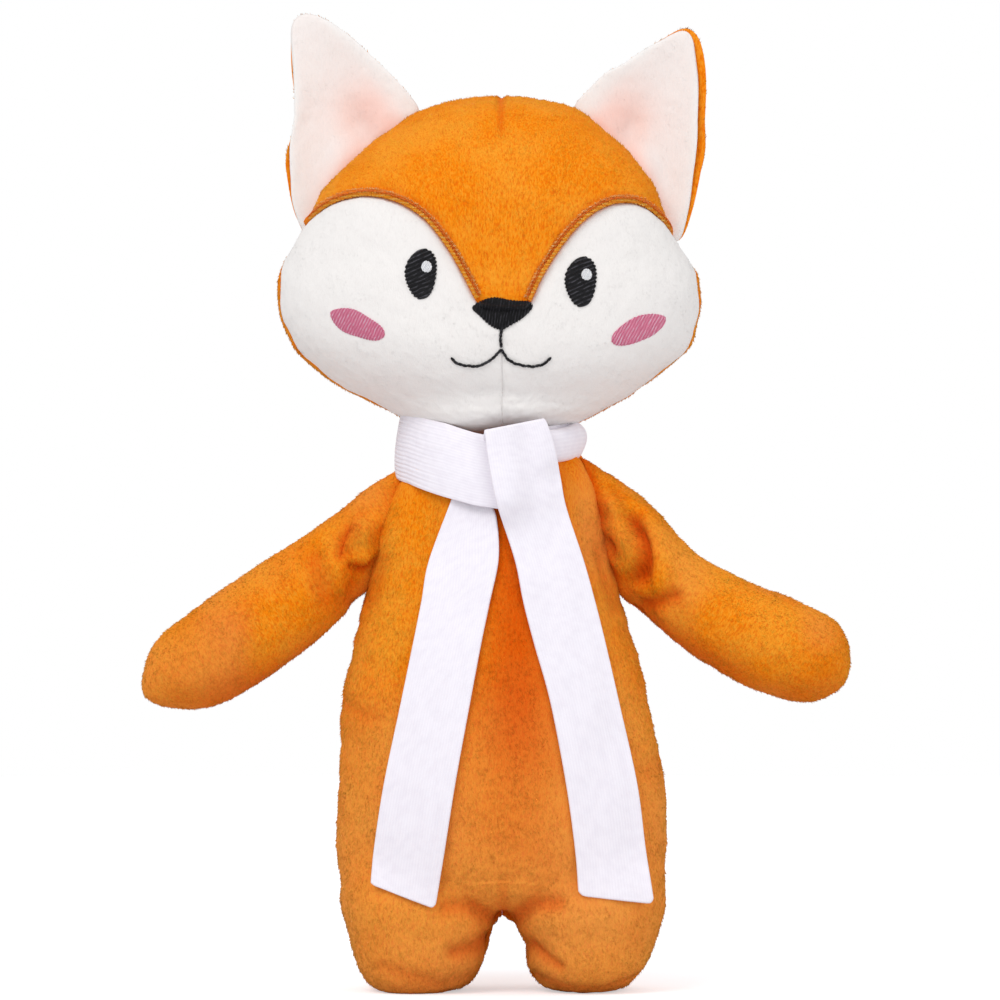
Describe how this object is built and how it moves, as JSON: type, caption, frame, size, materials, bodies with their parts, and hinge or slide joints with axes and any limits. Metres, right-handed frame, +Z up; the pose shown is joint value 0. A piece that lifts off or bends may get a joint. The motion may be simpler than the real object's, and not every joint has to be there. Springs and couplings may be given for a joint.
{
  "type": "plush fox",
  "caption": "Standing stuffed plush fox with a rounded white face, upright ears, sewn arms, a bushy tail and a knotted ribbon scarf.",
  "frame": {"origin": "on the floor, at the middle of the floor area that the toy's bounding box covers", "axes": "+Z up through the head, -Y the way the face looks, +X to the toy's own left"},
  "size_m": [0.209, 0.1352, 0.2807],
  "materials": {
    "orange_plush": "short-pile polyester plush, orange",
    "white_plush": "short-pile polyester plush, white",
    "fibre_fill": "polyester fibre stuffing",
    "black_thread": "satin-stitched polyester thread, black",
    "white_thread": "satin-stitched polyester thread, white",
    "pink_thread": "satin-stitched polyester thread, pink",
    "white_knit": "fine knitted ribbon, white"
  },
  "bodies": {
    "trunk": {"trunk_front_panel": "orange_plush", "trunk_back_panel_right": "orange_plush", "trunk_back_panel_left": "orange_plush", "trunk_stuffing": "fibre_fill", "scarf_neckband": "white_knit", "scarf_knot": "white_knit"},
    "neck": {"neck_roll": "fibre_fill"},
    "head": {"forehead_panel": "orange_plush", "face_panel_right": "white_plush", "face_panel_left": "white_plush", "head_back_panel_right": "orange_plush", "head_back_panel_left": "orange_plush", "head_stuffing": "fibre_fill", "eye_right": "black_thread", "eye_left": "black_thread", "eye_glint_right": "white_thread", "eye_glint_left": "white_thread", "blush_right": "pink_thread", "blush_left": "pink_thread", "nose": "black_thread", "mouth": "black_thread"},
    "ear_right": {"ear_lining_right": "white_plush", "ear_back_right": "orange_plush"},
    "ear_left": {"ear_lining_left": "white_plush", "ear_back_left": "orange_plush"},
    "arm_right": {"arm_front_panel_right": "orange_plush", "arm_back_panel_right": "orange_plush", "arm_stuffing_right": "fibre_fill"},
    "arm_left": {"arm_front_panel_left": "orange_plush", "arm_back_panel_left": "orange_plush", "arm_stuffing_left": "fibre_fill"},
    "tail": {"tail_cover": "orange_plush", "tail_tip": "white_plush", "tail_stuffing": "fibre_fill"},
    "scarf_tail_right": {"scarf_tail_right": "white_knit"},
    "scarf_tail_left": {"scarf_tail_left": "white_knit"}
  },
  "joints": [
    {"name": "neck_turn", "type": "hinge", "parent": "trunk", "child": "neck", "pos_m": [0.002, -0.02955, 0.1375], "axis": [0, 0, 1], "range_deg": [-35, 35], "stiffness_Nm_per_rad": 0.05},
    {"name": "head_nod", "type": "hinge", "parent": "neck", "child": "head", "pos_m": [0.002, -0.02955, 0.1759], "axis": [1, 0, 0], "range_deg": [-10, 10], "stiffness_Nm_per_rad": 0.08},
    {"name": "ear_fold_right", "type": "hinge", "parent": "head", "child": "ear_right", "pos_m": [-0.03925, -0.02955, 0.23578], "axis": [0.7389, 0, 0.6738], "range_deg": [-20, 20], "stiffness_Nm_per_rad": 0.008},
    {"name": "ear_fold_left", "type": "hinge", "parent": "head", "child": "ear_left", "pos_m": [0.03957, -0.02955, 0.23578], "axis": [0.6825, 0, -0.7309], "range_deg": [-20, 20], "stiffness_Nm_per_rad": 0.008},
    {"name": "arm_swing_right", "type": "hinge", "parent": "trunk", "child": "arm_right", "pos_m": [-0.03466, -0.02955, 0.12775], "axis": [0.2878, 0, 0.9577], "range_deg": [-55, 55], "stiffness_Nm_per_rad": 0.01},
    {"name": "arm_swing_left", "type": "hinge", "parent": "trunk", "child": "arm_left", "pos_m": [0.0365, -0.02955, 0.12775], "axis": [0.2326, 0, -0.9726], "range_deg": [-55, 55], "stiffness_Nm_per_rad": 0.01},
    {"name": "tail_wag", "type": "hinge", "parent": "trunk", "child": "tail", "pos_m": [0.002, 0.00048, 0.062], "axis": [0, 0.0316, -0.9995], "range_deg": [-45, 45], "stiffness_Nm_per_rad": 0.01},
    {"name": "scarf_lift_right", "type": "hinge", "parent": "trunk", "child": "scarf_tail_right", "pos_m": [-0.0072, -0.05705, 0.1374], "axis": [-1, 0, 0], "range_deg": [0, 80]},
    {"name": "scarf_lift_left", "type": "hinge", "parent": "trunk", "child": "scarf_tail_left", "pos_m": [0.011, -0.05705, 0.1401], "axis": [-1, 0, 0], "range_deg": [0, 80]}
  ]
}
